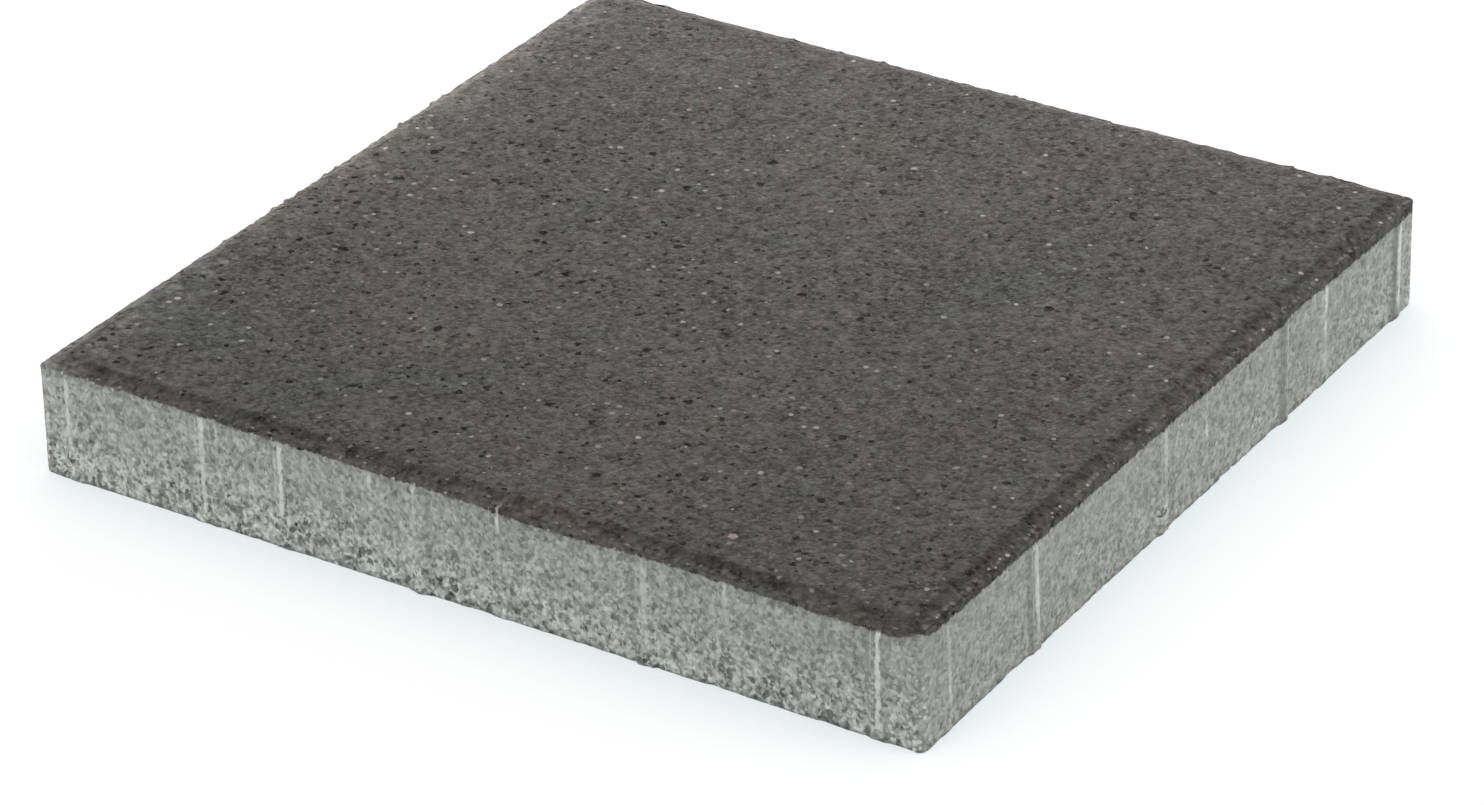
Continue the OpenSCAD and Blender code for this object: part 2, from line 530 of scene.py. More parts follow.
def openness(points, side):
    """How open and coarse the base mix is: each side's own values near its top and its foot, blended
    by the cubic step, varied by slow noise, and more in the hollow patches."""
    foot = fade(points[:, 2], 4 * MM, 36 * MM)
    value = OPEN_ABOVE[side] + (OPEN_BELOW[side] - OPEN_ABOVE[side]) * foot
    value += 0.18 * rough_noise(points, size=38 * MM, seed=73, octaves=2)
    for place, radius, more in HOLLOWS:
        value += more * fade(distance_from(points, place), 0.3 * radius * MM, radius * MM)
    return np.clip(value, 0, OPEN_MOST)


def bitten(points):
    """How deep each point lies inside the bites out of the edges, in metres."""
    depth = np.zeros(len(points))
    ragged = 1 + 0.35 * rough_noise(points, size=4 * MM, seed=74, octaves=2)
    for place, radius in BITES:
        depth = np.maximum(depth, radius * MM * ragged - distance_from(points, place))
    return np.clip(depth, 0, None)


def foot_relief(points, facing):
    """How far the foot stands out, in metres: each side's straight lean, nothing at the arris, and
    the swellings, eased across and up. Both ease off round the corners."""
    lean = np.zeros(len(points))
    burrs = np.zeros(len(points))
    rise = 1 - np.clip(points[:, 2] / ARRIS_Z, 0, 1)
    low = fade(points[:, 2], 0.22 * BURR_HEIGHT, BURR_HEIGHT)
    for k, (places, widths) in enumerate(LEANS):
        turn = k * QUARTER_TURN
        along = points[:, 1] * math.cos(turn) - points[:, 0] * math.sin(turn)
        onto = ease(facing[:, 0] * math.cos(turn) + facing[:, 1] * math.sin(turn), 0.1, 0.95)
        lean = np.maximum(lean, np.interp(along / MM, places, widths) * onto * rise)
        for side, place, width, depth in FOOT_BURRS:
            if side == k:
                across = fade(np.abs(along - place * MM), 0.3 * width * MM, 0.55 * width * MM)
                burrs = np.maximum(burrs, depth * across * onto * low)
    ragged = 0.9 + 0.3 * rough_noise(points, size=5 * MM, seed=75, octaves=2)
    return MM * (lean + burrs * ragged)


def slab_relief(points, facing, side, along, openly):
    """Relief of the skin along its own direction, in metres. It is the sum of a slow swell, a fine
    grain on the bevel, a crumbled arris with single proud grains, a crumbled lip, pits and grain in
    the sides where the mix is open, hollows in the underside, the ribs and the foot, less the
    bites. Bell curves of the distance hold the crumbling to the arris and to the lip."""
    z = points[:, 2]
    upright = (np.abs(facing[:, 2]) < SIDE_FACES_UP) & (side >= 0)
    from_rim = np.clip(inset_of(points), 0, None)
    near_arris = bell(np.hypot(from_rim, z - ARRIS_Z), ARRIS_REACH)
    near_lip = bell(np.hypot(from_rim, z), LIP_REACH)
    relief = SWELL * rough_noise(points, size=45 * MM, seed=11)
    bevel = on_bevel(points, facing, 1 * MM, 2 * MM)
    relief += bevel * (BEVEL_GRAIN * rough_noise(points, size=4 * MM, seed=13, octaves=2) - BEVEL_SUNK)
    relief += near_arris * crumbled(
        points, seed=14, grain=ARRIS_GRAIN * ARRIS_ROUGHNESS[side], grain_size=2.6 * MM, rise=-0.05,
        chip=1.3, chip_size=7 * MM, chip_level=0.55)
    proud = scattered(points, spacing=5 * MM, seed=22, share=0.45, edge=(0.12, 0.40))
    relief += near_arris * PROUD_GRAIN * ARRIS_ROUGHNESS[side] * proud
    relief += near_lip * crumbled(
        points, seed=16, grain=LIP_GRAIN, grain_size=3.8 * MM, rise=0.05,
        chip=1.2, chip_size=8 * MM, chip_level=0.5)
    coarse = openly * upright * fade(z, 40 * MM, 45 * MM)
    pits = scattered(points, spacing=3.4 * MM, seed=21, share=0.40, edge=(0.10, 0.50))
    relief -= coarse ** 2 * PIT_DEPTH * pits
    relief += coarse * SIDE_GRAIN * rough_noise(points, size=3 * MM, seed=18, octaves=2)
    hollow = np.clip(rough_noise(points, size=14 * MM, seed=19) + 0.3, 0, 1)
    relief -= (facing[:, 2] < UNDERSIDE_FACES_UP) * UNDERSIDE_HOLLOW * hollow
    relief *= MM
    relief += rib_relief(points, side, along) * upright + foot_relief(points, facing)
    return relief - bitten(points)


def rib_shade_strips(points, side, along):
    """Strength of the painted shade strips beside the ribs: an eased band across each strip."""
    strength = np.zeros(len(points))
    for strip_side, place, width, dark in PAINTED_RIB_SHADE_STRIPS:
        across = fade(np.abs(along - place * MM), 0.25 * width * MM, 0.6 * width * MM)
        strength = np.maximum(strength, dark * across * (side == strip_side))
    return strength


def rib_line_values(points, side, along):
    """The pale lines along the ribs, rubbed wear and in part a painted highlight: each point's distance
    along the side from its line and half that line's width, in metres, and how strongly it shows at
    that height. Points beyond a line's reach show none."""
    offset = np.full(len(points), RIB_LINE_REACH)
    half = np.full(len(points), MM)
    strength = np.zeros(len(points))
    for line_side, place, width, heights, strengths in RUB_AND_HIGHLIGHT_LINES:
        away = along - place * MM
        inside = (side == line_side) & (np.abs(away) < RIB_LINE_REACH)
        shown = np.interp(points[:, 2] / MM, heights, strengths, left=0)
        shown *= fade(points[:, 2], (heights[-1] - 1) * MM, (heights[-1] + 1) * MM)
        offset[inside] = away[inside]
        half[inside] = 0.5 * width * MM
        strength[inside] = shown[inside]
    return {"rib_line_offset": offset, "rib_line_half": half, "rib_line_strength": strength}


def face_light_and_shade(points, side):
    """How light the face mix is, with painted light and shade: 1 on the walking face, a little darker
    with painted shade on the bevel, darkest along a bell curve of painted shade just outside the
    bevel's inner edge, and dark with painted shade on the upright side. It fades lighter with painted
    sheen in a narrow and a wider uneven band along the -X side, faintly beyond them, and with painted
    light a little towards the corner between +X and +Y."""
    from_rim = inset_of(points)
    bevel = fade(from_rim, BEVEL_WIDTH - 1.5 * MM, BEVEL_WIDTH + 1.5 * MM)
    # Painted shade on the bevel and along its inner edge
    tone = 1 - PAINTED_BEVEL_SHADE[side] * bevel - PAINTED_CREASE_SHADE * bell(from_rim - CREASE_INSET, CREASE_WIDTH)
    # Painted sheen along the -X side
    uneven = 1.12 + 0.8 * rough_noise(points, size=9 * MM, seed=76, octaves=2)
    for (strength, full, none), varied in zip(PAINTED_SHEEN_FADES, (uneven, uneven, 1)):
        tone += strength * fade(BODY_HALF + points[:, 0], full * MM, none * MM) * varied
    # Painted light towards the corner between +X and +Y
    tone += 0.11 * ease(points[:, 0] + points[:, 1], 50 * MM, 300 * MM)
    # Painted shade on the upright side
    upright = fade(points[:, 2], ARRIS_Z - 1 * MM, ARRIS_Z + 0.2 * MM)
    return tone + upright * (UPRIGHT_TONE - tone)


def pitted(points):
    """How strongly the face mix's pores show: most at the corner between -X and -Y, and less by
    cubic steps towards the opposite corner and the one between -X and +Y."""
    x, y = points[:, 0], points[:, 1]
    return 1.15 - 0.45 * ease(x + y, -150 * MM, 280 * MM) - 0.20 * ease(y - x, 50 * MM, 330 * MM)


def mix_height(points, facing, side, along):
    """Height above the line between the two mixes: a fixed one on the walking face and another on
    the underside."""
    height = points[:, 2] - mix_line(points, side, along)
    level = np.where(facing[:, 2] > 0, FACE_MIX_HEIGHT, UNDERSIDE_MIX_HEIGHT)
    return np.where(side < 0, level, height)


def finish_values(points, facing, side, along, openly):
    """What the finish reads, by name: one number for each point of the skin."""
    # Worn light grains just inside the arris, also a painted highlight along the edge
    wear_and_highlight = bell(inset_of(points) - WEAR_AND_HIGHLIGHT_INSET, WEAR_AND_HIGHLIGHT_WIDTH) * (points[:, 2] > ARRIS_Z)
    corner = np.max([near_corner(points, place, 5 * MM) for place in CORNERS], 0)
    return {
        "mix_height": mix_height(points, facing, side, along),
        "openness": openly,
        "rib_shade_strips": rib_shade_strips(points, side, along),
        "arris": wear_and_highlight * WEAR_AND_HIGHLIGHT_SHARE[side] * (side >= 0),
        "corner": 1.3 * corner * fade(points[:, 2], 26 * MM, 46 * MM),
        "face_light_and_shade": face_light_and_shade(points, side),
        "pitted": pitted(points),
        "bevel": on_bevel(points, facing, 1.5 * MM, 1 * MM) * (side >= 0),
        **rib_line_values(points, side, along),
    }


def new_object(name, data):
    """An object of the given data, linked into the scene."""
    made = bpy.data.objects.new(name, data)
    bpy.context.scene.collection.objects.link(made)
    return made


def make_slab():
    """The slab's mesh: the skin moved by its relief, with what the finish reads."""
    points, facing, side, along, quads, triangles = build_skin()
    openly = openness(points, side)
    moved = points + facing * slab_relief(points, facing, side, along, openly)[:, None]
    moved[:, 2] = np.clip(moved[:, 2], 0, THICKNESS)
    mesh = bpy.data.meshes.new("slab_skin")
    mesh.from_pydata(moved.tolist(), [], quads.tolist() + triangles.tolist())
    mesh.shade_smooth()
    for name, values in finish_values(points, facing, side, along, openly).items():
        layer = mesh.attributes.new(name, "FLOAT", "POINT")
        layer.data.foreach_set("value", values.astype(np.float32))
    return new_object("paving_slab", mesh)


# ---- material parts

def link(output, into):
    """Links one node's output to another's input, in the tree that they are in."""
    output.id_data.links.new(output, into)


def give(outputs, **values):
    """Links values to a group's outputs by name."""
    for name, value in values.items():
        link(value, outputs[name])


def put(kind, inputs, tree=None, **settings):
    """A node of a kind with its settings, in the given tree or that of its first linked input, and
    its inputs by name or number: a socket is linked, a colour is made opaque, and anything else is
    a value."""
    linked = [value for value in inputs.values() if isinstance(value, bpy.types.NodeSocket)]
    node = (tree or linked[0].id_data).nodes.new(kind)
    for name, value in settings.items():
        setattr(node, name, value)
    for name, value in inputs.items():
        socket = node.inputs[name]
        if isinstance(value, bpy.types.NodeSocket):
            link(value, socket)
        elif socket.type == "RGBA":
            socket.default_value = (*value, 1.0)
        else:
            socket.default_value = value
    return node


def maths(operation, a, b=0.0, c=0.0, clamp=False):
    """The output of a Math node."""
    return put("ShaderNodeMath", {0: a, 1: b, 2: c}, operation=operation, use_clamp=clamp).outputs[0]


def times(*values, clamp=False):
    """The product of two or more values."""
    product = values[0]
    for value in values[1:]:
        product = maths("MULTIPLY", product, value, clamp=clamp)
    return product


def plus(start, *terms):
    """A start value plus each term, which is a value and its weight."""
    total = start
    for value, weight in terms:
        total = maths("MULTIPLY_ADD", value, weight, total)
    return total


def minus(a, b):
    """One value less another."""
    return maths("SUBTRACT", a, b)


def vector(operation, a, b):
    """The Vector Math node of an operation on two vectors."""
    return put("ShaderNodeVectorMath", {0: a, 1: b}, operation=operation)


def scaled(colour, factor):
    """A vector or colour times a number."""
    return put("ShaderNodeVectorMath", {0: colour, "Scale": factor}, operation="SCALE").outputs[0]


def eased(value, low, high):
    """The output of a Map Range node: the smooth step from 0 at low to 1 at high, either way."""
    return put("ShaderNodeMapRange", {"Value": value, "From Min": low, "From Max": high},
               interpolation_type="SMOOTHSTEP").outputs["Result"]


def blend(share, first, second, way="MIX"):
    """The output of a colour mix."""
    return put("ShaderNodeMix", {"Factor": share, 6: first, 7: second},
               data_type="RGBA", blend_type=way).outputs[2]


def blend_number(share, first, second):
    """The output of a mix of numbers."""
    return put("ShaderNodeMix", {0: share, 2: first, 3: second}).outputs[0]


def swing(colour, amount):
    """How far a colour is from mid grey, times an amount."""
    return scaled(vector("SUBTRACT", colour, (0.5, 0.5, 0.5)).outputs[0], amount)


def noise_texture(place, scale, detail):
    """The outputs of a Noise Texture."""
    return put("ShaderNodeTexNoise", {"Vector": place, "Scale": scale, "Detail": detail}).outputs


def voronoi(place, scale):
    """Voronoi cells: the distance from each cell's middle, and the cell's own three numbers."""
    found = put("ShaderNodeTexVoronoi", {"Vector": place, "Scale": scale}).outputs
    numbers = put("ShaderNodeSeparateColor", {"Color": found["Color"]}).outputs
    return found["Distance"], numbers


def carried(place, name):
    """A number that the skin carries on its points, in the tree of a place."""
    return put("ShaderNodeAttribute", {}, place.id_data, attribute_name=name).outputs["Fac"]


def new_group(name, numbers, outputs):
    """A node group that takes a place and named numbers with their usual values, and gives a colour
    for each output named Colour and a number for any other; with its inputs and outputs."""
    tree = bpy.data.node_groups.new(name, "ShaderNodeTree")
    tree.interface.new_socket("Place", in_out="INPUT", socket_type="NodeSocketVector")
    for label, value in numbers.items():
        tree.interface.new_socket(label, in_out="INPUT", socket_type="NodeSocketFloat").default_value = value
    for label in outputs:
        kind = "NodeSocketColor" if label == "Colour" else "NodeSocketFloat"
        tree.interface.new_socket(label, in_out="OUTPUT", socket_type=kind)
    return tree, tree.nodes.new("NodeGroupInput").outputs, tree.nodes.new("NodeGroupOutput").inputs


def use_group(group, place, **numbers):
    """The outputs of a group placed in a material or in another group."""
    inputs = {"Place": place, **{name.capitalize(): value for name, value in numbers.items()}}
    return put("ShaderNodeGroup", inputs, node_tree=group).outputs


def grain_group():
    """Packed sand grains of a size in metres: each has its own tone, and stands proud in its middle."""
    tree, given, out = new_group("packed_grains", {"Size": 1 * MM}, ("Tone", "Relief"))
    distance, numbers = voronoi(given["Place"], maths("DIVIDE", 1.0, given["Size"]))
    give(out, Tone=numbers[0], Relief=minus(1.0, eased(distance, 0.0, 0.75)))
    return tree


def spot_group():
    """Scattered spots, such as pores or bright grains: of one possible spot to a cell as wide as the
    spacing in metres, only the given share is there, each with its own size, shape and tone. The
    radius and raggedness are shares of the spacing, and the softness is a share of the radius."""
    tree, given, out = new_group(
        "scattered_spots",
        {"Spacing": 5 * MM, "Radius": 0.3, "Share": 0.5, "Ragged": 0.3, "Soft": 0.4},
        ("Mask", "Tone"))
    scale = maths("DIVIDE", 1.0, given["Spacing"])
    wobble = noise_texture(given["Place"], times(scale, 2.6), 1.0)["Color"]
    shift = swing(wobble, times(given["Spacing"], given["Ragged"]))
    place = vector("ADD", given["Place"], shift).outputs[0]
    distance, numbers = voronoi(place, scale)
    there = maths("LESS_THAN", numbers[0], given["Share"])
    radius = times(given["Radius"], plus(0.5, (numbers[1], 0.7)))
    core = times(radius, minus(1.0, given["Soft"]))
    give(out, Mask=times(eased(distance, radius, core), there), Tone=numbers[2])
    return tree


def mottle_group():
    """Cloudy variation about zero, at a size in metres."""
    tree, given, out = new_group("slow_mottle", {"Size": 30 * MM, "Detail": 2.0}, ("Value",))
    cloud = noise_texture(given["Place"], maths("DIVIDE", 1.0, given["Size"]), given["Detail"])
    give(out, Value=plus(-1.0, (cloud["Fac"], 2.0)))
    return tree


def tint_group():
    """Faint drift of hue about plain white, in patches of a size in metres."""
    tree, given, out = new_group("faint_tint", {"Size": 12 * MM, "Amount": 0.1}, ("Colour",))
    patches = noise_texture(given["Place"], maths("DIVIDE", 1.0, given["Size"]), 1.0)
    drift = swing(patches["Color"], given["Amount"])
    give(out, Colour=vector("ADD", drift, (1.0, 1.0, 1.0)).outputs[0])
    return tree


GRAINS = grain_group()
SPOTS = spot_group()
MOTTLE = mottle_group()
TINT = tint_group()


def mottle(place, size, detail):
    """Cloudy variation about zero."""
    return use_group(MOTTLE, place, size=size, detail=detail)["Value"]


def tinted(colour, place, size, amount):
    """A colour with a faint drift of hue."""
    tint = use_group(TINT, place, size=size, amount=amount)
    return blend(1.0, colour, tint["Colour"], "MULTIPLY")


# ---- the two mixes

FACE_PASTE = ((0.137, 0.130, 0.1185), (0.132, 0.129, 0.1190))
# Pores and holes of the face mix: painted shade inside them
FACE_PORE_SHADE = (0.015, 0.014, 0.012)
FACE_HOLE_SHADE = (0.012, 0.011, 0.010)
BRIGHT_GRAIN = ((0.230, 0.218, 0.202), (0.74, 0.71, 0.67))
LARGE_GRAIN = ((0.36, 0.26, 0.21), (0.24, 0.19, 0.165))

BASE_PASTE = ((0.393, 0.409, 0.380), (0.450, 0.492, 0.454))
PALE_GRAIN = (0.64, 0.67, 0.62)
# Pores and holes of the base mix: painted shade inside them
BASE_PORE_SHADE = (0.15, 0.155, 0.14)
BASE_HOLE_SHADE = (0.07, 0.075, 0.068)
# Colour of the painted contact shadow at the foot
PAINTED_FOOT_SHADOW = (0.10, 0.10, 0.09)
# How the mould draws the base mix's grain out: less than 1 is longer along that axis
BASE_DRAWN = (1.0, 0.78, 0.85)

BEVEL_TINT = (1.00, 0.975, 0.965)
# Worn light grains, also a painted highlight along the arris
WORN_GRAIN_AND_HIGHLIGHT = (0.36, 0.335, 0.305)
CHIPPED_GRAIN = (0.70, 0.66, 0.59)
SEAM_GRAIN = (0.60, 0.56, 0.48)
CORNER_GRAIN = (0.76, 0.74, 0.68)
# Colour of the painted shade beside the ribs
PAINTED_RIB_SHADE = (0.20, 0.21, 0.20)
SEAM_SHADE = (0.15, 0.15, 0.145)
# Pale rib lines: rubbed wear and in part a painted highlight
RUB_AND_HIGHLIGHT_BASE = (0.76, 0.79, 0.75)
RUB_AND_HIGHLIGHT_FACE = (0.70, 0.67, 0.62)


def face_mix_group():
    """The dark face mix: fine anthracite grains in a dark paste, small pores and larger holes painted
    dark as the shade inside them, a few bright grains and the odd large pinkish one."""
    tree, given, out = new_group(
        "dark_face_mix", {"Coarse": 0.0, "Pitted": 1.0}, ("Colour", "Relief", "Roughness"))
    place = given["Place"]
    fine = use_group(GRAINS, place, size=1.1 * MM)
    medium = use_group(GRAINS, place, size=2.3 * MM)
    cloud = mottle(place, size=60 * MM, detail=3.0)
    patch = mottle(place, size=10 * MM, detail=2.0)
    grit = mottle(place, size=3.4 * MM, detail=2.0)
    pores = use_group(SPOTS, place, spacing=4.2 * MM, radius=0.31, share=0.50, ragged=0.7)
    holes = use_group(SPOTS, place, spacing=9 * MM, radius=0.21, share=0.36, ragged=0.45)
    bright = use_group(SPOTS, place, spacing=5 * MM, radius=0.26, share=0.55, ragged=0.25)
    large = use_group(SPOTS, place, spacing=34 * MM, radius=0.070, share=0.25, ragged=0.04)
    tone = plus(0.893, (maths("POWER", fine["Tone"], 2.0), 0.45),
                (minus(medium["Tone"], 0.5), 0.60), (grit, 0.82), (patch, 0.58), (cloud, 0.30))
    tone = maths("MAXIMUM", tone, 0.15)
    hue = blend(eased(patch, -0.5, 0.5), *FACE_PASTE)
    hue = tinted(hue, place, size=14 * MM, amount=0.12)
    hue = tinted(hue, place, size=70 * MM, amount=0.18)
    pore_share = times(pores["Mask"], plus(0.24, (pores["Tone"], 0.54)), given["Pitted"])
    hole_share = times(holes["Mask"], plus(0.45, (holes["Tone"], 0.4)), given["Pitted"])
    # Painted shade in the pores and holes
    colour = blend(pore_share, scaled(hue, tone), FACE_PORE_SHADE)
    colour = blend(hole_share, colour, FACE_HOLE_SHADE)
    glint = blend(maths("POWER", bright["Tone"], 9.0), *BRIGHT_GRAIN)
    colour = blend(times(bright["Mask"], 0.85), colour, glint)
    pinkish = blend(large["Tone"], *LARGE_GRAIN)
    colour = blend(times(large["Mask"], 0.75), colour, pinkish)
    relief = plus(times(medium["Relief"], 0.25), (fine["Relief"], 0.18), (grit, 0.20),
                  (given["Coarse"], times(grit, 0.5)), (pore_share, -1.3), (hole_share, -2.4),
                  (bright["Mask"], 0.25))
    rough = plus(0.80, (fine["Tone"], -0.16))
    deep = maths("MAXIMUM", pores["Mask"], holes["Mask"])
    rough = maths("MULTIPLY_ADD", deep, 0.4, rough, clamp=True)
    give(out, Colour=colour, Relief=relief, Roughness=rough)
    return tree


def base_mix_group():
    """The grey base mix: pale cement round mid-grey sand, with more contrast, pores and holes painted
    dark as the shade inside them, and pale grains the more open it is, drawn out a little up and down
    and along Y, and darkened at its foot with a painted contact shadow."""
    tree, given, out = new_group("grey_base_mix", {"Open": 0.0}, ("Colour", "Relief", "Roughness"))
    openly = given["Open"]
    drawn = vector("MULTIPLY", given["Place"], BASE_DRAWN).outputs[0]
    fine = use_group(GRAINS, drawn, size=1.3 * MM)
    medium = use_group(GRAINS, drawn, size=2.8 * MM)
    cloud = mottle(drawn, size=22 * MM, detail=2.0)
    grit = mottle(drawn, size=3 * MM, detail=2.0)
    pores = use_group(SPOTS, drawn, spacing=3.6 * MM, radius=0.42, share=0.45, ragged=0.6, soft=0.45)
    pale = use_group(SPOTS, drawn, spacing=3.4 * MM, radius=0.34, share=0.45, ragged=0.4)
    holes = use_group(SPOTS, drawn, spacing=8 * MM, radius=0.24, share=0.50, ragged=0.4, soft=0.3)
    varied = plus(times(minus(fine["Tone"], 0.5), 0.57),
                  (minus(medium["Tone"], 0.5), 0.27), (grit, 0.31))
    tone = plus(1.0, (varied, plus(0.8, (openly, 0.9))), (cloud, 0.05))
    hue = blend(eased(openly, 0.15, 1.10), *BASE_PASTE)
    hue = tinted(hue, drawn, size=12 * MM, amount=0.06)
    pale_share = times(pale["Mask"], plus(0.15, (openly, 0.60)))
    colour = blend(pale_share, scaled(hue, tone), PALE_GRAIN)
    pore_share = times(pores["Mask"], plus(0.06, (openly, 0.60)))
    # Painted shade in the pores and holes
    colour = blend(pore_share, colour, BASE_PORE_SHADE)
    hole_share = times(holes["Mask"], eased(openly, 0.65, 1.0), 0.75)
    colour = blend(hole_share, colour, BASE_HOLE_SHADE)
    height = put("ShaderNodeSeparateXYZ", {0: given["Place"]}).outputs["Z"]
    # Painted contact shadow along the foot
    foot_shadow = eased(plus(height, (grit, 4.5 * MM)), 2.6 * MM, 0.4 * MM)
    colour = blend(times(foot_shadow, plus(0.25, (openly, 0.25))), colour, PAINTED_FOOT_SHADOW)
    relief = plus(times(medium["Relief"], 0.35), (fine["Relief"], 0.25),
                  (grit, plus(0.4, (openly, 0.8))), (pore_share, -1.4))
    give(out, Colour=colour, Relief=relief, Roughness=plus(0.93, (fine["Tone"], -0.10)))
    return tree


FACE_MIX = face_mix_group()
BASE_MIX = base_mix_group()


def rub_and_highlight_share(place, ragged):
    """How strongly the pale rib lines, rubbed wear and in part a painted highlight, show: across half
    a swaying, dashed width, at the strength that the skin carries, broken into beads."""
    dashes = mottle(place, size=3.2 * MM, detail=2.0)
    sway = mottle(place, size=5 * MM, detail=1.0)
    away = plus(carried(place, "rib_line_offset"), (sway, 1.1 * MM))
    half = times(carried(place, "rib_line_half"), plus(1.10, (dashes, 1.3)))
    across = eased(maths("ABSOLUTE", away), half, times(half, 0.40))
    shown = times(across, carried(place, "rib_line_strength"))
    return times(shown, plus(0.95, (ragged, 1.0)), clamp=True)


def face_wear_and_painted_light(place, colour, chips, rub_and_highlight):
    """The face mix with its bevel a little browner, its slow tone with the painted light and shade that
    the skin carries, worn light grains that are also a painted highlight and brighter chipped ones
    along the arris, single stones, each a ragged disc, and the tops of the pale rib lines, rubbed wear
    and in part a painted highlight."""
    arris = carried(place, "arris")
    face = blend(carried(place, "bevel"), colour, BEVEL_TINT, "MULTIPLY")
    # Painted light and shade that the skin carries
    face = scaled(face, carried(place, "face_light_and_shade"))
    # Worn light grains, also a painted highlight along the arris
    wear_and_highlight = use_group(SPOTS, place, spacing=2.8 * MM, radius=0.58, share=0.80, ragged=0.4)
    face = blend(times(wear_and_highlight["Mask"], arris, 0.80), face, WORN_GRAIN_AND_HIGHLIGHT)
    chipped = eased(arris, 0.3, 0.7)
    face = blend(times(chips["Mask"], chipped), face, CHIPPED_GRAIN)
    rim = mottle(place, size=1.8 * MM, detail=1.0)
    for (x, y), radius, stone in FACE_STONES:
        away = vector("DISTANCE", place, (x * MM, y * MM, THICKNESS)).outputs["Value"]
        away = plus(away, (rim, 0.9 * MM))
        face = blend(eased(away, radius * MM, 0.6 * radius * MM), face, stone)
    # Tops of the pale rib lines: rubbed wear and in part a painted highlight
    return blend(times(rub_and_highlight, 0.8), face, RUB_AND_HIGHLIGHT_FACE)


def marked_base(place, colour, openly, line, rub_and_highlight):
    """The base mix with its strips of painted rib shade, duller just below the face mix where it is
    open, with the pale rib lines of rubbed wear and painted highlight, and light grains at the upright
    corners."""
    # Painted shade strips beside the ribs
    base = blend(times(carried(place, "rib_shade_strips"), 0.45), colour, PAINTED_RIB_SHADE)
    near_line = eased(line, -6 * MM, -0.5 * MM)
    base = blend(times(near_line, times(openly, 0.65)), base, SEAM_SHADE)
    # Pale rib lines: rubbed wear and in part a painted highlight
    base = blend(rub_and_highlight, base, RUB_AND_HIGHLIGHT_BASE)
    small = use_group(SPOTS, place, spacing=2.4 * MM, radius=0.44, share=0.75, ragged=0.3)
    at_corner = times(small["Mask"], carried(place, "corner"), clamp=True)
    return blend(at_corner, base, CORNER_GRAIN)


def seam_share(chips, line):
    """How strongly light grains show along the line between the two mixes."""
    at_seam = minus(1.0, eased(maths("ABSOLUTE", line), 0.4 * MM, 1.8 * MM))
    return times(chips["Mask"], at_seam, eased(chips["Tone"], 0.45, 0.60))


def concrete():
    """The slab's finish: the dark face mix above a ragged line and the grey base mix below it, each
    with its own wear and its own painted light and shade, and light grains along the line."""
    material = bpy.data.materials.new("two_mix_concrete")
    material.use_nodes = True
    tree = material.node_tree
    shader = tree.nodes["Principled BSDF"]
    place = tree.nodes.new("ShaderNodeTexCoord").outputs["Object"]
    openly = carried(place, "openness")
    dark = use_group(FACE_MIX, place, coarse=carried(place, "bevel"), pitted=carried(place, "pitted"))
    grey = use_group(BASE_MIX, place, open=openly)
    ragged = mottle(place, size=2 * MM, detail=3.0)
    line = plus(carried(place, "mix_height"), (ragged, 1.6 * MM))
    upper = eased(line, -0.5 * MM, 0.5 * MM)
    chips = use_group(SPOTS, place, spacing=4 * MM, radius=0.28, share=0.90, ragged=0.2, soft=0.3)
    rub_and_highlight = rub_and_highlight_share(place, ragged)
    face = face_wear_and_painted_light(place, dark["Colour"], chips, rub_and_highlight)
    base = marked_base(place, grey["Colour"], openly, line, rub_and_highlight)
    colour = blend(seam_share(chips, line), blend(upper, base, face), SEAM_GRAIN)
    roughness = blend_number(upper, grey["Roughness"], dark["Roughness"])
    relief = blend_number(upper, grey["Relief"], dark["Relief"])
    bump = put("ShaderNodeBump", {"Height": relief, "Distance": 0.45 * MM})
    link(colour, shader.inputs["Base Color"])
    link(roughness, shader.inputs["Roughness"])
    link(bump.outputs["Normal"], shader.inputs["Normal"])
    shader.inputs["Specular IOR Level"].default_value = 0.16
    return material


# ---- studio

FLOOR_HALF = 8.0
FLOOR_BOUNCE = (0.80, 0.80, 0.80)
FLOOR_SHADE = (0.20, 0.20, 0.20)
FLOOR_GLOW = 0.93
FLOOR_SHADOW = (0.66, 0.76, 0.77)
CONTACT_SHADOW = (0.10, 0.11, 0.11)
SHADOW_REACH = 0.12
WHITE = (1.0, 1.0, 1.0)
FILL_LEVEL = 0.03
# Lamps: name, power, size, azimuth, elevation, distance, colour
LAMPS = [
    ("key_lamp", 13.6, 1.0, 212.0, 15.0, 1.2, (1.0, 0.965, 0.92)),
    ("left_lamp", 39.0, 1.6, -15.0, 16.0, 2.6, WHITE),
    ("right_lamp", 42.5, 1.6, 105.0, 16.0, 2.6, WHITE),
]
LAMP_TARGET = (0, 0, 0.03)
# Camera: a long lens, and its azimuth, elevation, roll, target and distance
LENS = 133.9
CAMERA_VIEW = (32.70, 29.26, -1.015, (0.00725, -0.0135, 0.0), 2.2117)


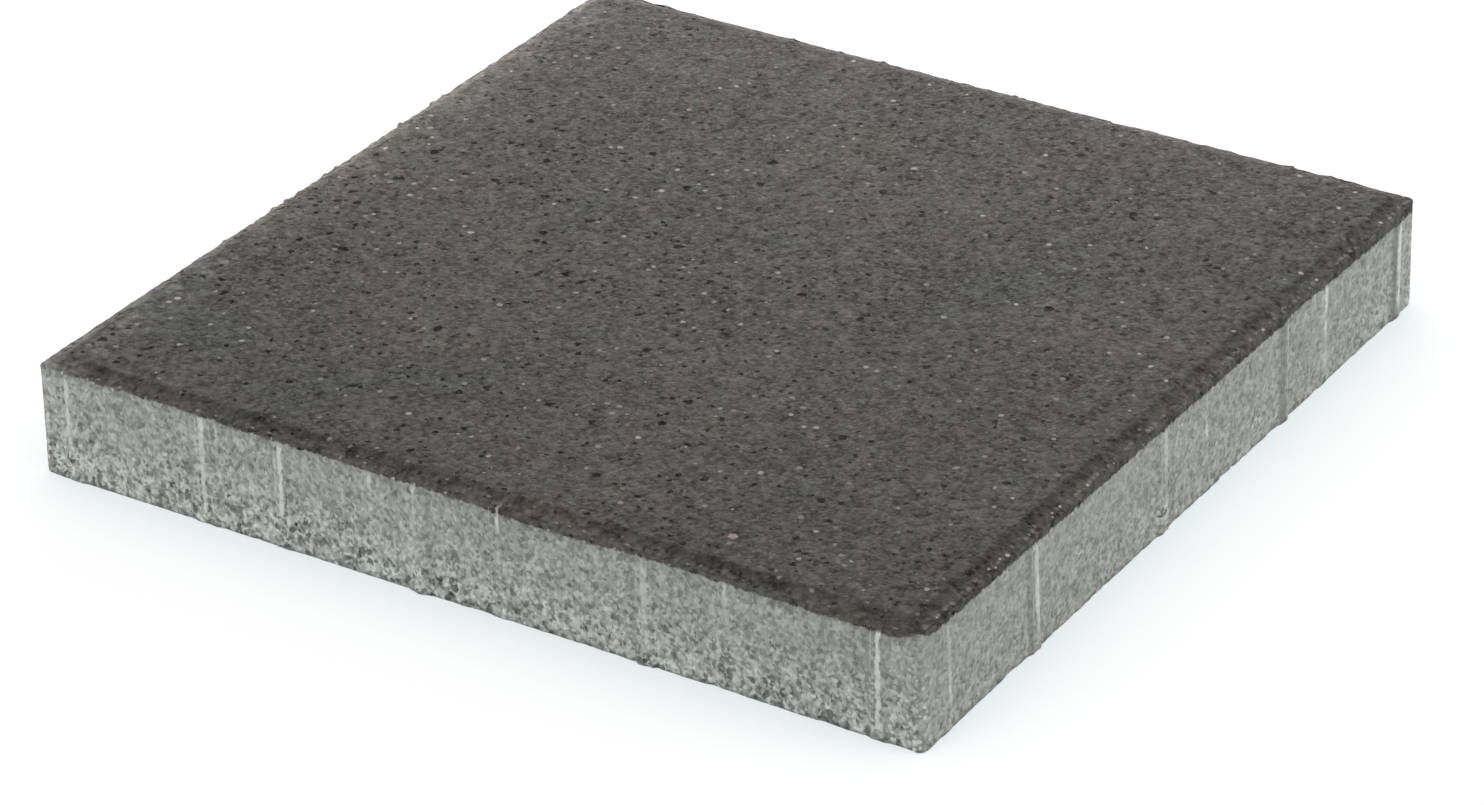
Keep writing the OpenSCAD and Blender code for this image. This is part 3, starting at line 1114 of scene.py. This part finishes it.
def floor_material():
    """Pale floor: a plain diffuse floor that bounces light, and for the camera a white glow that
    dims close to the slab in a painted contact shadow, plus a weak part that takes the lamps' shadows."""
    material = bpy.data.materials.new("studio_floor")
    material.use_nodes = True
    tree = material.node_tree
    tree.nodes.clear()
    bounce = put("ShaderNodeBsdfDiffuse", {"Color": FLOOR_BOUNCE}, tree).outputs[0]
    shade = put("ShaderNodeBsdfDiffuse", {"Color": FLOOR_SHADE}, tree).outputs[0]
    # Painted contact shadow on the floor, from ambient occlusion
    clear = put("ShaderNodeAmbientOcclusion", {"Distance": SHADOW_REACH}, tree, samples=8).outputs["AO"]
    tone = blend(eased(clear, 0.30, 0.90), FLOOR_SHADOW, WHITE)
    tone = blend(eased(clear, 0.05, 0.35), CONTACT_SHADOW, tone)
    glow = put("ShaderNodeEmission", {"Color": tone, "Strength": FLOOR_GLOW}).outputs[0]
    seen = put("ShaderNodeAddShader", {0: shade, 1: glow}).outputs[0]
    path = tree.nodes.new("ShaderNodeLightPath").outputs["Is Camera Ray"]
    surface = put("ShaderNodeMixShader", {0: path, 1: bounce, 2: seen}).outputs[0]
    put("ShaderNodeOutputMaterial", {"Surface": surface})
    return material


def make_floor():
    """A level square floor under the slab."""
    mesh = bpy.data.meshes.new("studio_floor")
    ends = (-FLOOR_HALF, FLOOR_HALF)
    mesh.from_pydata([(x, y, 0) for y in ends for x in ends], [], [(0, 1, 3, 2)])
    mesh.materials.append(floor_material())
    floor = new_object("studio_floor", mesh)


def make_world():
    """Even white surroundings: a soft fill for the slab, and plain white for the camera."""
    world = bpy.data.worlds.new("studio_world")
    bpy.context.scene.world = world
    world.use_nodes = True
    tree = world.node_tree
    tree.nodes.clear()
    path = tree.nodes.new("ShaderNodeLightPath")
    strength = plus(FILL_LEVEL, (path.outputs["Is Camera Ray"], 1.0 - FILL_LEVEL))
    surround = put("ShaderNodeBackground", {"Color": WHITE, "Strength": strength}).outputs[0]
    put("ShaderNodeOutputWorld", {"Surface": surround})


def look_matrix(azimuth, elevation, roll, target, distance):
    """Placement of a lamp or camera that looks at a target: azimuth 0 looks along +Y from the -Y
    side, elevation is above level, and roll turns it about its own line of sight."""
    turns = ((azimuth, "Z"), (90 - elevation, "X"), (roll, "Z"))
    matrix = Matrix.Translation(target)
    for angle, axis in turns:
        matrix = matrix @ Matrix.Rotation(math.radians(angle), 4, axis)
    return matrix @ Matrix.Translation((0, 0, distance))


def make_lamp(name, power, size, azimuth, elevation, distance, colour):
    """A large soft square lamp, turned to the slab."""
    lamp = bpy.data.lights.new(name, "AREA")
    lamp.shape = "SQUARE"
    lamp.size = size
    lamp.energy = power
    lamp.color = colour
    new_object(name, lamp).matrix_world = look_matrix(azimuth, elevation, 0, LAMP_TARGET, distance)


def make_camera():
    """The camera, looking down on the corner between the -Y and +X sides."""
    data = bpy.data.cameras.new("camera")
    data.lens = LENS
    data.clip_start = 0.05
    camera = new_object("camera", data)
    camera.matrix_world = look_matrix(*CAMERA_VIEW)
    bpy.context.scene.camera = camera


make_camera()
slab = make_slab()
slab.data.materials.append(concrete())
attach(slab, "root")
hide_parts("slab")
make_floor()
make_world()
for settings in LAMPS:
    make_lamp(*settings)
bpy.context.scene.view_settings.view_transform = "Standard"
